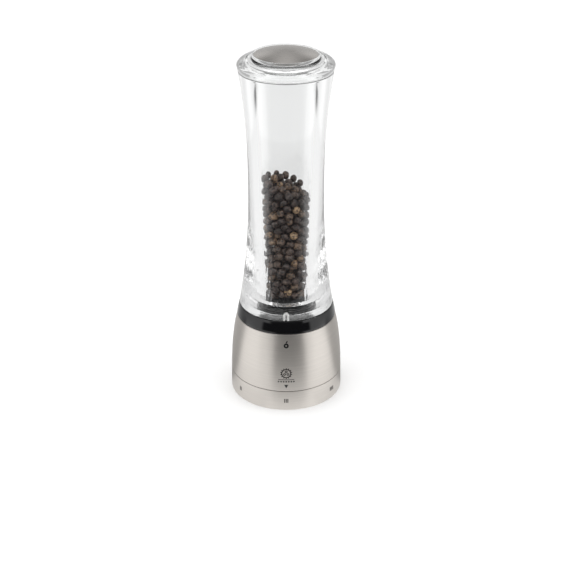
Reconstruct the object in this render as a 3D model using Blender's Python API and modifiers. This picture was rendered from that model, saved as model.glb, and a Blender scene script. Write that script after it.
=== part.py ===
"""Pepper mill, 210 mm tall, modelled piece by piece in the order it comes apart.

The steel base is held in one hand while the clear reservoir above it is turned with the other.
The reservoir carries a collar, a spider and a square shaft that turns the grinding cone inside the
fixed grinding ring. The ring at the foot of the base is the grind adjuster: it turns a bridge that
is threaded into the housing, and the bridge lifts or lowers the cone. The cap pulls off to refill.

Units are metres, +Z is up, and the origin is the centre of the foot. Run it with
blender --background --python part.py, or from Blender's text editor.
"""

from math import cos, pi, radians, sin, tau

import bmesh
import bpy
from mathutils import Matrix, Vector

MM = 0.001

# Driving dimensions of the outside.
HEIGHT = 209.3 * MM
BASE_RADIUS = 33.3 * MM
BASE_DRAFT = 0.0175  # how fast the base narrows from the foot up
RING_TOP = 12.65 * MM  # joint between the adjusting ring and the base shell
SHELL_TOP = 48.7 * MM
SHELL_TOP_RADIUS = 29.15 * MM
COLLAR_TOP = 56.5 * MM
COLLAR_TOP_RADIUS = 27.8 * MM
WAIST_Z = 130.65 * MM
WAIST_RADIUS = 21.6 * MM
BODY_TOP = 197.9 * MM
BODY_TOP_RADIUS = 26.35 * MM
LIP_TOP = 202.0 * MM  # the reservoir's upstanding lip, which the cap fits over
LIP_RADIUS = 19.2 * MM
CAP_SEAL_Z = 200.6 * MM
RIM_Z = 201.2 * MM
RIM_RADIUS = 27.05 * MM
DOME_RADIUS = 17.65 * MM
DOME_EDGE_Z = 206.45 * MM

# Thicknesses and fits.
SHEET = 0.7 * MM
STILL_GAP = 0.3 * MM  # between pieces that don't move on each other
RUNNING_GAP = 0.4 * MM
WALL = 1.8 * MM
LARGE_STEPS = 28  # facets round the large turned pieces
SMALL_STEPS = 18

# The reservoir's bore, and the pieces that stand in it.
BORE_FOOT_RADIUS = 12.0 * MM
BORE_MOUTH_RADIUS = 17.1 * MM
COUNTERBORE_RADIUS = 17.5 * MM
COUNTERBORE_TOP = 62.2 * MM
NECK_RADIUS = 17.1 * MM
NECK_TOP = 61.9 * MM
THROAT_RADIUS = 11.6 * MM
THROAT_FOOT = 38.0 * MM
SEAT_Z = 56.6 * MM  # where the spider's rim rests in the collar
SEAT_RADIUS = 13.6 * MM
SPIDER_TOP = 61.5 * MM

# The bearing between the collar and the housing.
JOURNAL_RADIUS = 24.3 * MM
JOURNAL_FOOT = 40.6 * MM
COLLAR_UNDERSIDE = 49.0 * MM
BEARING_FOOT = 43.9 * MM
BEARING_RADIUS = 26.6 * MM
COLLAR_CLIP_Z = (41.8 * MM, 42.6 * MM)

# The grinder.
SHAFT_SIDE = 4.0 * MM
SHAFT_FOOT = 15.2 * MM
ROTOR_FOOT = 10.8 * MM
ROTOR_TOP = 31.6 * MM
TEETH = 24
STATOR_FOOT = 12.4 * MM
STATOR_TOP = 27.6 * MM
STATOR_RADIUS = 14.6 * MM
STATOR_FLANGE_Z = (14.9 * MM, 16.9 * MM)
STATOR_FLANGE_RADIUS = 19.6 * MM
WEB_TOP = 19.2 * MM
FUNNEL_RADIUS = 14.9 * MM
SCREW_CIRCLE = 17.3 * MM
SPRING_Z = (32.2 * MM, 43.0 * MM)

# The adjuster.
SKIRT_INNER = 20.6 * MM  # threaded for the bridge; drawn at its mean diameter
SKIRT_OUTER = 24.0 * MM
SKIRT_FOOT = 7.6 * MM
ADJUSTER_CLIP_Z = (8.6 * MM, 9.4 * MM)
BRIDGE_Z = (3.6 * MM, 11.4 * MM)
BRIDGE_ARM_TOP = 6.4 * MM
SETTINGS = 6
SETTING_STEP = radians(55)
REST_SETTING = 3  # counted from 1, the finest
DETENT_CIRCLE = 28.0 * MM
ARM_ANGLES = [radians(a) for a in (90, 210, 330)]


def clear_scene():
    for obj in list(bpy.data.objects):
        bpy.data.objects.remove(obj, do_unlink=True)


def collection(name):
    made = bpy.data.collections.new(name)
    bpy.context.scene.collection.children.link(made)
    return made


def material(name, colour, roughness, metallic=0.0, transmission=0.0):
    made = bpy.data.materials.new(name)
    made.use_nodes = True
    shader = made.node_tree.nodes["Principled BSDF"]
    shader.inputs["Base Color"].default_value = (*colour, 1.0)
    shader.inputs["Roughness"].default_value = roughness
    shader.inputs["Metallic"].default_value = metallic
    shader.inputs["Transmission Weight"].default_value = transmission
    made.diffuse_color = (*colour, 1.0)
    return made


clear_scene()
MILL = collection("pepper_mill")
CUTTERS = collection("cutters")
STEEL_SKIN = material("brushed_steel", (0.62, 0.59, 0.56), 0.32, metallic=1.0)
STEEL = material("bright_steel", (0.70, 0.70, 0.70), 0.22, metallic=1.0)
BURR_STEEL = material("burr_steel", (0.36, 0.35, 0.34), 0.42, metallic=1.0)
SPRING_STEEL = material("spring_steel", (0.55, 0.55, 0.56), 0.28, metallic=1.0)
ACRYLIC = material("clear_acrylic", (1.0, 1.0, 1.0), 0.02, transmission=1.0)
BLACK_GLOSS = material("gloss_black", (0.012, 0.012, 0.013), 0.12)
BLACK_MATTE = material("matte_black", (0.03, 0.03, 0.032), 0.5)
WHITE = material("white_plastic", (0.88, 0.88, 0.87), 0.35)
RUBBER = material("black_rubber", (0.02, 0.02, 0.02), 0.7)
SILICONE = material("clear_silicone", (0.85, 0.86, 0.86), 0.3)
FOAM = material("grey_foam", (0.45, 0.45, 0.45), 0.9)
PEPPER = material("peppercorn", (0.07, 0.045, 0.03), 0.8)


def group(name):
    """An empty on the mill's axis that carries one moving body."""
    empty = bpy.data.objects.new(name, None)
    MILL.objects.link(empty)
    return empty


BASE = group("base_group")
ADJUSTER = group("adjuster_group")
BRIDGE = group("bridge_group")
RESERVOIR = group("reservoir_group")
ROTOR = group("rotor_group")
CAP = group("cap_group")


def add(mesh, name, finish, parent):
    obj = bpy.data.objects.new(name, mesh)
    MILL.objects.link(obj)
    obj.parent = parent
    obj.data.materials.clear()
    obj.data.materials.append(finish)
    return obj


def shade(mesh):
    mesh.shade_smooth()
    mesh.set_sharp_from_angle(angle=radians(35))


def mesh_of(obj):
    """The object's shape as a welded mesh in world space; the object itself is removed."""
    graph = bpy.context.evaluated_depsgraph_get()
    mesh = bpy.data.meshes.new_from_object(obj.evaluated_get(graph))
    mesh.transform(obj.matrix_world)
    work = bmesh.new()
    work.from_mesh(mesh)
    bmesh.ops.remove_doubles(work, verts=work.verts, dist=0.005 * MM)
    bmesh.ops.recalc_face_normals(work, faces=work.faces)
    work.to_mesh(mesh)
    work.free()
    shade(mesh)
    bpy.data.objects.remove(obj, do_unlink=True)
    return mesh


def turned_mesh(profile, steps):
    """A profile of (radius, height) points swept round Z. One that starts and ends on the axis
    stays open there; any other is closed into a ring."""
    on_axis = profile[0][0] == 0.0 and profile[-1][0] == 0.0
    count = len(profile)
    edges = [(i, (i + 1) % count) for i in range(count - 1 if on_axis else count)]
    outline = bpy.data.meshes.new("outline")
    outline.from_pydata([(r, 0.0, z) for r, z in profile], edges, [])
    obj = bpy.data.objects.new("outline", outline)
    MILL.objects.link(obj)
    screw = obj.modifiers.new("screw", "SCREW")
    screw.axis = "Z"
    screw.angle = tau
    screw.steps = steps
    screw.render_steps = steps
    screw.use_merge_vertices = True
    screw.merge_threshold = 0.005 * MM
    bpy.context.view_layer.update()
    return mesh_of(obj)


def turned(name, profile, finish, parent, steps=LARGE_STEPS):
    return add(turned_mesh(profile, steps), name, finish, parent)


def ring(name, inner, outer, low, high, finish, parent, steps=LARGE_STEPS):
    """A plain washer or sleeve."""
    profile = [(outer, high), (outer, low), (inner, low), (inner, high)]
    return turned(name, profile, finish, parent, steps)


def block_mesh(size, centre, turn=0.0):
    """A box turned about the mill's axis after it is placed."""
    work = bmesh.new()
    bmesh.ops.create_cube(work, size=1.0)
    placed = Matrix.Rotation(turn, 4, "Z") @ Matrix.Translation(centre) @ Matrix.Diagonal((*size, 1.0))
    work.transform(placed)
    mesh = bpy.data.meshes.new("block")
    work.to_mesh(mesh)
    work.free()
    return mesh


def rod_mesh(radius, low, high, at=(0.0, 0.0), steps=SMALL_STEPS):
    """An upright cylinder, turned a little so that its edges miss those of what it cuts."""
    work = bmesh.new()
    placed = Matrix.Translation((*at, (low + high) / 2)) @ Matrix.Rotation(0.1, 4, "Z")
    bmesh.ops.create_cone(work, cap_ends=True, segments=steps, radius1=radius, radius2=radius,
                          depth=high - low, matrix=placed)
    mesh = bpy.data.meshes.new("rod")
    work.to_mesh(mesh)
    work.free()
    return mesh


def ball_mesh(radius, centre, steps=12):
    work = bmesh.new()
    bmesh.ops.create_uvsphere(work, u_segments=steps, v_segments=steps // 2 + 1, radius=radius,
                              matrix=Matrix.Translation(centre))
    mesh = bpy.data.meshes.new("ball")
    work.to_mesh(mesh)
    work.free()
    return mesh


def combine(obj, mesh, operation):
    """Cuts the mesh out of the object, or joins it on."""
    tool = bpy.data.objects.new(f"{obj.name}_{operation.lower()}", mesh)
    CUTTERS.objects.link(tool)
    tool.hide_render = True
    tool.display_type = "WIRE"
    modifier = obj.modifiers.new(operation.lower(), "BOOLEAN")
    modifier.operation = operation
    modifier.object = tool


def cut(obj, *meshes):
    for mesh in meshes:
        combine(obj, mesh, "DIFFERENCE")


def join(obj, *meshes):
    for mesh in meshes:
        combine(obj, mesh, "UNION")


def steps_between(low, high, count):
    return [low + (high - low) * i / (count - 1) for i in range(count)]


def round_corner(centre, radius, start, end, count=4):
    """Points on an arc of the profile, from one angle to another in degrees."""
    angles = [radians(a) for a in steps_between(start, end, count)]
    return [(centre[0] + radius * cos(a), centre[1] + radius * sin(a)) for a in angles]


def on_circle(radius, angle):
    return (radius * cos(angle), radius * sin(angle))


def shell_radius(z):
    """The outside of the steel ring and shell: nearly upright below, drawn in towards the top."""
    drawn_in = BASE_RADIUS - BASE_DRAFT * SHELL_TOP - SHELL_TOP_RADIUS
    return BASE_RADIUS - BASE_DRAFT * z - drawn_in * (z / SHELL_TOP) ** 3.65


def body_radius(z):
    """The reservoir's outside, with its waist two thirds of the way up."""
    if z < WAIST_Z:
        spread = COLLAR_TOP_RADIUS - WAIST_RADIUS
        return WAIST_RADIUS + spread * ((WAIST_Z - z) / (WAIST_Z - COLLAR_TOP)) ** 2.1
    spread = BODY_TOP_RADIUS - WAIST_RADIUS
    return WAIST_RADIUS + spread * ((z - WAIST_Z) / (BODY_TOP - WAIST_Z)) ** 2.35


def bore_radius(z):
    """The bore widens evenly from its foot to its mouth in the lip."""
    share = (z - COUNTERBORE_TOP) / (LIP_TOP - COUNTERBORE_TOP)
    return BORE_FOOT_RADIUS + (BORE_MOUTH_RADIUS - BORE_FOOT_RADIUS) * share


# The base: shell, housing, funnel, fixed grinding ring and their fasteners.


def build_base_shell():
    low = RING_TOP + STILL_GAP / 2
    high = SHELL_TOP - 0.25 * MM
    outside = [(shell_radius(z), z) for z in steps_between(high, low, 7)]
    inside = [(shell_radius(z) - SHEET, z) for z in steps_between(low, SHELL_TOP - SHEET, 7)]
    lip = 28.4 * MM
    profile = outside + inside + [(lip, SHELL_TOP - SHEET), (lip, SHELL_TOP)]
    profile.append((SHELL_TOP_RADIUS - 0.25 * MM, SHELL_TOP))
    turned("base_shell", profile, STEEL_SKIN, BASE)


def screw_positions():
    return [on_circle(SCREW_CIRCLE, a + radians(30)) for a in ARM_ANGLES]


def detent_position():
    return on_circle(DETENT_CIRCLE, radians(-90))


def build_base_housing():
    """One moulding: outer wall with a seat for the bearing ring, web that carries the grinding
    ring and the funnel, and the skirt that the adjuster turns on."""
    inset = SHEET + STILL_GAP
    floor_low, floor_high = RING_TOP + STILL_GAP, 14.6 * MM
    web_low, web_high = 17.2 * MM, WEB_TOP
    top = 47.3 * MM
    seat, seat_foot = BEARING_RADIUS + STILL_GAP, 40.0 * MM
    groove = SKIRT_OUTER - 0.8 * MM
    outer_wall = [(shell_radius(z) - inset, z) for z in steps_between(top, floor_low, 6)]
    inner_wall = [(shell_radius(z) - inset - WALL, z) for z in steps_between(floor_high, seat_foot, 4)]
    profile = outer_wall
    profile += [
        (SKIRT_OUTER, floor_low),
        (SKIRT_OUTER, ADJUSTER_CLIP_Z[1] + 0.2 * MM),
        (groove, ADJUSTER_CLIP_Z[1] + 0.2 * MM),
        (groove, ADJUSTER_CLIP_Z[0] - 0.2 * MM),
        (SKIRT_OUTER, ADJUSTER_CLIP_Z[0] - 0.2 * MM),
        (SKIRT_OUTER, SKIRT_FOOT),
        (SKIRT_INNER, SKIRT_FOOT),
        (SKIRT_INNER, web_low),
        (FUNNEL_RADIUS, web_low),
        (FUNNEL_RADIUS, web_high),
        (SKIRT_OUTER, web_high),
        (SKIRT_OUTER, floor_high),
    ]
    profile += inner_wall
    profile += [(seat, seat_foot), (seat, top)]
    housing = turned("base_housing", profile, BLACK_MATTE, BASE)
    for at in screw_positions():
        cut(housing, rod_mesh(1.4 * MM, 16.0 * MM, 20.0 * MM, at, 12))
    join(housing, rod_mesh(2.8 * MM, 13.5 * MM, 21.0 * MM, detent_position(), 12))
    cut(housing, rod_mesh(1.5 * MM, 11.0 * MM, 19.6 * MM, detent_position(), 12))


def build_funnel():
    """The tube that guides the peppercorns from the collar's throat to the burrs. Its flange stands
    on the web, and the three screws run up into its bosses."""
    low, flange_top, high = WEB_TOP + STILL_GAP, 21.3 * MM, 39.5 * MM
    outer = FUNNEL_RADIUS + 1.5 * MM
    profile = [(outer, high), (outer, flange_top), (20.2 * MM, flange_top), (20.2 * MM, low),
               (FUNNEL_RADIUS, low), (FUNNEL_RADIUS, high)]
    funnel = turned("funnel", profile, BLACK_MATTE, BASE)
    for at in screw_positions():
        x, y = (1.03 * side for side in at)
        join(funnel, rod_mesh(2.3 * MM, flange_top - 0.5 * MM, 24.3 * MM, (x, y), 12))
        cut(funnel, rod_mesh(1.4 * MM, low - 1.0 * MM, 23.3 * MM, at, 12))


def loft(rings, closed):
    """A surface through rings of points. Closed, its last ring joins its first, as in a tube wall;
    open, each end is capped."""
    work = bmesh.new()
    rows = [[work.verts.new(p) for p in points] for points in rings]
    count = len(rows[0])
    pairs = list(zip(rows, rows[1:], strict=False))
    if closed:
        pairs.append((rows[-1], rows[0]))
    else:
        work.faces.new(rows[0])
        work.faces.new(rows[-1])
    for below, above in pairs:
        for i in range(count):
            k = (i + 1) % count
            work.faces.new((below[i], below[k], above[k], above[i]))
    bmesh.ops.recalc_face_normals(work, faces=work.faces)
    bmesh.ops.triangulate(work, faces=work.faces)
    mesh = bpy.data.meshes.new("loft")
    work.to_mesh(mesh)
    work.free()
    mesh.set_sharp_from_angle(angle=radians(25))
    return mesh


def toothed_ring(crest, depth, z, per_tooth, twist):
    """A ring of points whose radius falls from each crest by depth across one tooth."""
    count = 2 * TEETH
    points = []
    for i in range(count):
        fall = (i % per_tooth) / (per_tooth - 1)
        radius = crest - depth * fall
        x, y = on_circle(radius, tau * i / count + twist)
        points.append((x, y, z))
    return points


def build_stator():
    """The fixed grinding ring: coarse breaking teeth in its mouth, fine teeth below, and a flange
    with three screw holes."""
    rings = []
    for z, crest, depth, per_tooth, twist in (
        (STATOR_FOOT, 11.9 * MM, -0.8 * MM, 2, -0.12),
        (15.3 * MM, 10.9 * MM, -0.8 * MM, 2, -0.04),
        (18.2 * MM, 9.9 * MM, -0.8 * MM, 2, 0.04),
        (18.9 * MM, 10.9 * MM, -0.1 * MM, 2, 0.06),
        (20.2 * MM, 10.9 * MM, -1.4 * MM, 4, 0.08),
        (24.2 * MM, 11.7 * MM, -1.5 * MM, 4, 0.18),
        (STATOR_TOP, 12.5 * MM, -1.2 * MM, 4, 0.28),
    ):
        rings.append(toothed_ring(crest, depth, z, per_tooth, twist))
    for radius, z in (
        (STATOR_RADIUS, STATOR_TOP),
        (STATOR_RADIUS, STATOR_FLANGE_Z[1]),
        (STATOR_FLANGE_RADIUS, STATOR_FLANGE_Z[1]),
        (STATOR_FLANGE_RADIUS, STATOR_FLANGE_Z[0]),
        (STATOR_RADIUS, STATOR_FLANGE_Z[0]),
        (STATOR_RADIUS, STATOR_FOOT),
    ):
        rings.append(toothed_ring(radius, 0.0, z, 2, 0.08))
    stator = add(loft(rings, closed=True), "stator_burr", BURR_STEEL, BASE)
    for at in screw_positions():
        cut(stator, rod_mesh(1.4 * MM, 14.0 * MM, 18.0 * MM, at, 12))


def build_screws():
    """Three screws clamp the grinding ring's flange and the funnel's to the web between them."""
    head_foot, head_top, tip = 12.9 * MM, 14.6 * MM, 22.4 * MM
    head, shank, slot = 2.1 * MM, 1.1 * MM, 0.7 * MM
    for number, at in enumerate(screw_positions(), 1):
        profile = [(0.0, tip), (shank * 0.5, tip), (shank, tip - 0.8 * MM), (shank, head_top),
                   (head, head_top), (head, head_foot + 0.6 * MM), (head * 0.7, head_foot), (0.0, head_foot)]
        mesh = turned_mesh(profile, 12)
        mesh.transform(Matrix.Translation((*at, 0.0)))
        screw = add(mesh, f"stator_screw_{number}", STEEL, BASE)
        for size in ((2.6 * MM, slot, 1.4 * MM), (slot, 2.6 * MM, 1.4 * MM)):
            cut(screw, block_mesh(size, (*at, head_foot)))


def build_collar_bearing():
    """What the collar turns in, and what keeps it there: a flanged bearing ring pressed into the
    housing, a snap ring in the journal's groove, and a slip washer between the two."""
    flange_radius, flange_foot, flange_top = 28.0 * MM, 47.6 * MM, 48.6 * MM
    bore = JOURNAL_RADIUS + RUNNING_GAP
    turned("bearing_ring", [(flange_radius, flange_top), (flange_radius, flange_foot),
                            (BEARING_RADIUS, flange_foot), (BEARING_RADIUS, BEARING_FOOT),
                            (bore, BEARING_FOOT), (bore, flange_top)], WHITE, BASE)
    low, high = COLLAR_CLIP_Z
    washer_foot = high + STILL_GAP
    washer_top = BEARING_FOOT - STILL_GAP
    ring("slip_washer", bore + 0.1 * MM, BEARING_RADIUS - 0.2 * MM, washer_foot, washer_top, WHITE, BASE)
    clip = ring("collar_snap_ring", 23.7 * MM, 26.2 * MM, low, high, SPRING_STEEL, RESERVOIR)
    gap = block_mesh((6.0 * MM, 4.0 * MM, 3.0 * MM), (0.0, 25.0 * MM, low), radians(180))
    cut(clip, gap)


def coil(name, mean_radius, wire_radius, low, high, turns, points_per_turn, finish, parent, at=(0.0, 0.0)):
    """A compression spring wound round an upright axis."""
    curve = bpy.data.curves.new(name, "CURVE")
    curve.dimensions = "3D"
    curve.bevel_depth = wire_radius
    curve.bevel_resolution = 2
    curve.use_fill_caps = True
    count = round(turns * points_per_turn) + 1
    line = curve.splines.new("POLY")
    line.points.add(count - 1)
    for i, point in enumerate(line.points):
        x, y = on_circle(mean_radius, tau * i / points_per_turn)
        z = low + wire_radius + (high - low - 2 * wire_radius) * i / (count - 1)
        point.co = (at[0] + x, at[1] + y, z, 1.0)
    obj = bpy.data.objects.new(name, curve)
    MILL.objects.link(obj)
    bpy.context.view_layer.update()
    return add(mesh_of(obj), name, finish, parent)


def build_detent():
    """The ball and spring that click into the adjuster's six dimples."""
    x, y = detent_position()
    add(ball_mesh(1.2 * MM, (x, y, 13.85 * MM)), "detent_ball", STEEL, BASE)
    coil("detent_spring", 0.9 * MM, 0.2 * MM, 15.25 * MM, 19.3 * MM, 4, 6, SPRING_STEEL, BASE, (x, y))


# The adjuster: skin, carrier and snap ring, and the bridge that it turns.


def build_adjuster_skin():
    """The brushed ring at the foot of the mill, turned in at its bottom edge, which is what the
    mill stands on."""
    high = RING_TOP - STILL_GAP / 2
    corner, edge = 0.5 * MM, 0.25 * MM
    profile = [(shell_radius(high) - edge, high), (shell_radius(high), high - edge)]
    profile += round_corner((BASE_RADIUS - corner, corner), corner, 0, -90)
    profile += [(30.9 * MM, 0.0), (30.9 * MM, SHEET), (shell_radius(SHEET) - SHEET, SHEET),
                (shell_radius(high) - SHEET, high)]
    turned("adjuster_skin", profile, STEEL_SKIN, ADJUSTER)


def build_adjuster_carrier():
    """The moulding inside the skin. Its inner wall turns on the skirt, and three slots in it drive
    the bridge."""
    low, high = 1.1 * MM, RING_TOP - 0.1 * MM
    outer = shell_radius(high) - SHEET - STILL_GAP
    bearing = SKIRT_OUTER + RUNNING_GAP
    shelf = ADJUSTER_CLIP_Z[1] + 0.4 * MM
    profile = [
        (outer, high),
        (outer, low),
        (30.6 * MM, low),
        (30.6 * MM, 9.0 * MM),
        (28.9 * MM, 9.0 * MM),
        (28.9 * MM, low),
        (26.2 * MM, low),
        (26.2 * MM, shelf),
        (bearing, shelf),
        (bearing, high),
    ]
    carrier = turned("adjuster_carrier", profile, BLACK_MATTE, ADJUSTER)
    for angle in ARM_ANGLES:
        size = (4.4 * MM, 6.8 * MM, 8.0 * MM)
        cut(carrier, block_mesh(size, (27.6 * MM, 0.0, 4.6 * MM), angle))
    for setting in range(1, SETTINGS + 1):
        angle = radians(-90) + (setting - REST_SETTING) * SETTING_STEP
        x, y = on_circle(DETENT_CIRCLE, angle)
        cut(carrier, ball_mesh(1.3 * MM, (x, y, high + 0.9 * MM)))


def build_adjuster_clip():
    low, high = ADJUSTER_CLIP_Z
    clip = ring("adjuster_snap_ring", SKIRT_OUTER - 0.5 * MM, 25.6 * MM, low, high, SPRING_STEEL, BASE)
    cut(clip, block_mesh((5.0 * MM, 4.0 * MM, 3.0 * MM), (0.0, 24.4 * MM, low)))


def build_bridge():
    """The threaded bridge: a ring in the skirt's thread, three arms that reach into the carrier's
    slots, and a hub with a cup for the thrust ball."""
    low, high = BRIDGE_Z
    outer = SKIRT_INNER - STILL_GAP
    bridge = ring("thrust_bridge", 17.8 * MM, outer, low, high, STEEL, BRIDGE)
    arm_height = BRIDGE_ARM_TOP - low
    middle = (low + BRIDGE_ARM_TOP) / 2
    for angle in ARM_ANGLES:
        arm = (16.0 * MM, 3.4 * MM, arm_height - 0.2 * MM)
        join(bridge, block_mesh(arm, (10.6 * MM, 0.0, middle), angle))
        join(bridge, block_mesh((9.0 * MM, 6.0 * MM, arm_height), (23.6 * MM, 0.0, middle), angle))
    hub = [(0.0, 7.5 * MM), (1.9 * MM, 8.3 * MM), (4.6 * MM, 8.3 * MM), (4.6 * MM, low), (0.0, low)]
    join(bridge, turned_mesh(hub, SMALL_STEPS))
    add(ball_mesh(1.4 * MM, (0.0, 0.0, 9.2 * MM)), "thrust_ball", STEEL, BRIDGE)


# The turning parts: reservoir, collar, spider, shaft, cone and spring.


def build_collar():
    """The glossy black collar: a neck that the reservoir is fitted on, a journal that turns in the
    housing, and the throat that the peppercorns fall through."""
    groove = (58.1 * MM, 59.9 * MM)
    clip_low, clip_high = COLLAR_CLIP_Z
    hollow_top = 51.6 * MM
    band_foot_radius = 29.25 * MM
    edge = 0.35 * MM
    profile = [
        (NECK_RADIUS, NECK_TOP),
        (NECK_RADIUS, groove[1]),
        (NECK_RADIUS - 1.4 * MM, groove[1]),
        (NECK_RADIUS - 1.4 * MM, groove[0]),
        (NECK_RADIUS, groove[0]),
        (NECK_RADIUS, COLLAR_TOP),
        (COLLAR_TOP_RADIUS - edge, COLLAR_TOP),
        (COLLAR_TOP_RADIUS, COLLAR_TOP - edge),
        (28.75 * MM, 52.0 * MM),
        (band_foot_radius, COLLAR_UNDERSIDE + edge),
        (band_foot_radius - edge, COLLAR_UNDERSIDE),
        (JOURNAL_RADIUS, COLLAR_UNDERSIDE),
        (JOURNAL_RADIUS, clip_high + 0.2 * MM),
        (JOURNAL_RADIUS - 0.9 * MM, clip_high + 0.2 * MM),
        (JOURNAL_RADIUS - 0.9 * MM, clip_low - 0.2 * MM),
        (JOURNAL_RADIUS, clip_low - 0.2 * MM),
        (JOURNAL_RADIUS, JOURNAL_FOOT),
        (21.4 * MM, JOURNAL_FOOT),
        (21.4 * MM, hollow_top),
        (14.6 * MM, hollow_top),
        (13.5 * MM, THROAT_FOOT),
        (THROAT_RADIUS, THROAT_FOOT),
        (THROAT_RADIUS, SEAT_Z),
        (SEAT_RADIUS, SEAT_Z),
        (SEAT_RADIUS, NECK_TOP),
    ]
    turned("collar", profile, BLACK_GLOSS, RESERVOIR)


def build_spider():
    """The three-armed piece in the collar's seat that turns the shaft."""
    low = SEAT_Z + STILL_GAP
    outer = SEAT_RADIUS - STILL_GAP
    spider = ring("drive_spider", 12.0 * MM, outer, low, SPIDER_TOP, BLACK_MATTE, RESERVOIR)
    for angle in ARM_ANGLES:
        size = (10.0 * MM, 2.2 * MM, SPIDER_TOP - low - 0.6 * MM)
        join(spider, block_mesh(size, (7.6 * MM, 0.0, (low + SPIDER_TOP) / 2), angle))
    join(spider, rod_mesh(4.3 * MM, low, SPIDER_TOP - 0.1 * MM))
    side = SHAFT_SIDE + 2 * 0.2 * MM
    cut(spider, block_mesh((side, side, 8.0 * MM), (0.0, 0.0, 59.0 * MM)))


def build_shaft():
    """The square shaft, with a round threaded end above the spider for its nut."""
    shoulder, tip = 61.6 * MM, 64.6 * MM
    middle = (SHAFT_FOOT + shoulder) / 2
    mesh = block_mesh((SHAFT_SIDE, SHAFT_SIDE, shoulder - SHAFT_FOOT), (0.0, 0.0, middle))
    shaft = add(mesh, "drive_shaft", STEEL, RESERVOIR)
    join(shaft, rod_mesh(1.8 * MM, shoulder - 1.0 * MM, tip, steps=16))
    hexagon = rod_mesh(4.0 * MM, shoulder + 0.2 * MM, tip - 0.4 * MM, steps=6)
    nut = add(hexagon, "shaft_nut", STEEL, RESERVOIR)
    cut(nut, rod_mesh(2.1 * MM, shoulder, tip, steps=16))


def build_spring():
    """The spring that holds the cone down on its ball, and the lock washer above it."""
    high = SPRING_Z[1]
    washer = ring("spring_washer", 2.2 * MM, 5.2 * MM, high + 0.3 * MM, high + 1.2 * MM,
                  STEEL, RESERVOIR, SMALL_STEPS)
    side = SHAFT_SIDE + 2 * 0.2 * MM
    cut(washer, block_mesh((side, side, 3.0 * MM), (0.0, 0.0, high + 0.7 * MM)))
    coil("burr_spring", 4.0 * MM, 0.5 * MM, *SPRING_Z, 4.5, 9, SPRING_STEEL, ROTOR)


def build_rotor():
    """The grinding cone: six deep spiral ribs draw the corns in, and fine teeth below grind them."""
    boss = 4.6 * MM
    rings = [toothed_ring(boss, 0.0, ROTOR_FOOT, 2, 0.0), toothed_ring(boss, 0.0, 12.1 * MM, 2, 0.0)]
    for z, crest, depth, per_tooth, twist in (
        (12.3 * MM, 11.2 * MM, 0.8 * MM, 2, 0.0),
        (15.2 * MM, 10.2 * MM, 0.8 * MM, 2, 0.10),
        (18.0 * MM, 9.2 * MM, 0.8 * MM, 2, 0.20),
        (18.7 * MM, 8.2 * MM, 0.1 * MM, 2, 0.24),
        (19.6 * MM, 9.3 * MM, 2.6 * MM, 8, 0.30),
        (23.0 * MM, 8.4 * MM, 2.8 * MM, 8, 0.52),
        (27.0 * MM, 7.2 * MM, 2.6 * MM, 8, 0.80),
        (30.6 * MM, 6.0 * MM, 1.8 * MM, 8, 1.05),
        (ROTOR_TOP, 5.4 * MM, 1.0 * MM, 8, 1.12),
    ):
        rings.append(toothed_ring(crest, depth, z, per_tooth, twist))
    rotor = add(loft(rings, closed=False), "rotor_burr", BURR_STEEL, ROTOR)
    side = SHAFT_SIDE + 2 * 0.2 * MM
    hole_foot = 13.6 * MM
    middle = (hole_foot + ROTOR_TOP + 1.0 * MM) / 2
    cut(rotor, block_mesh((side, side, ROTOR_TOP + 1.0 * MM - hole_foot), (0.0, 0.0, middle)))


def arch_mesh(width, height, thickness, slot):
    """A flat arch standing in the XZ plane, with its foot at the origin, and a slot up its middle."""
    spring_line = height - width / 2
    outline = [(-width / 2, 0.0)]
    outline += [(width / 2 * cos(a), spring_line + width / 2 * sin(a)) for a in steps_between(pi, 0.0, 9)]
    outline += [(width / 2, 0.0)]
    if slot:
        outline += [(slot / 2, 0.0)]
        outline += [(slot / 2 * cos(a), spring_line + slot / 2 * sin(a)) for a in steps_between(0.0, pi, 5)]
        outline += [(-slot / 2, 0.0)]
    curve = bpy.data.curves.new("arch", "CURVE")
    curve.dimensions = "2D"
    curve.fill_mode = "BOTH"
    curve.extrude = thickness / 2
    line = curve.splines.new("POLY")
    line.points.add(len(outline) - 1)
    line.use_cyclic_u = True
    for point, (x, y) in zip(line.points, outline, strict=True):
        point.co = (x, y, 0.0, 1.0)
    obj = bpy.data.objects.new("arch", curve)
    MILL.objects.link(obj)
    bpy.context.view_layer.update()
    mesh = mesh_of(obj)
    mesh.transform(Matrix.Rotation(radians(90), 4, "X"))
    return mesh


def key_placement(sink):
    """Leans a flat arch on the reservoir's sloping foot, facing the front, sunk by that depth."""
    low, high = COLLAR_TOP + STILL_GAP, COLLAR_TOP + 6.0 * MM
    lean = Vector((body_radius(low) - body_radius(high), high - low)).angle_signed(Vector((0.0, 1.0)))
    place = Matrix.Translation((0.0, -body_radius(low) + sink, low))
    return place @ Matrix.Rotation(lean, 4, "X")


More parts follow.
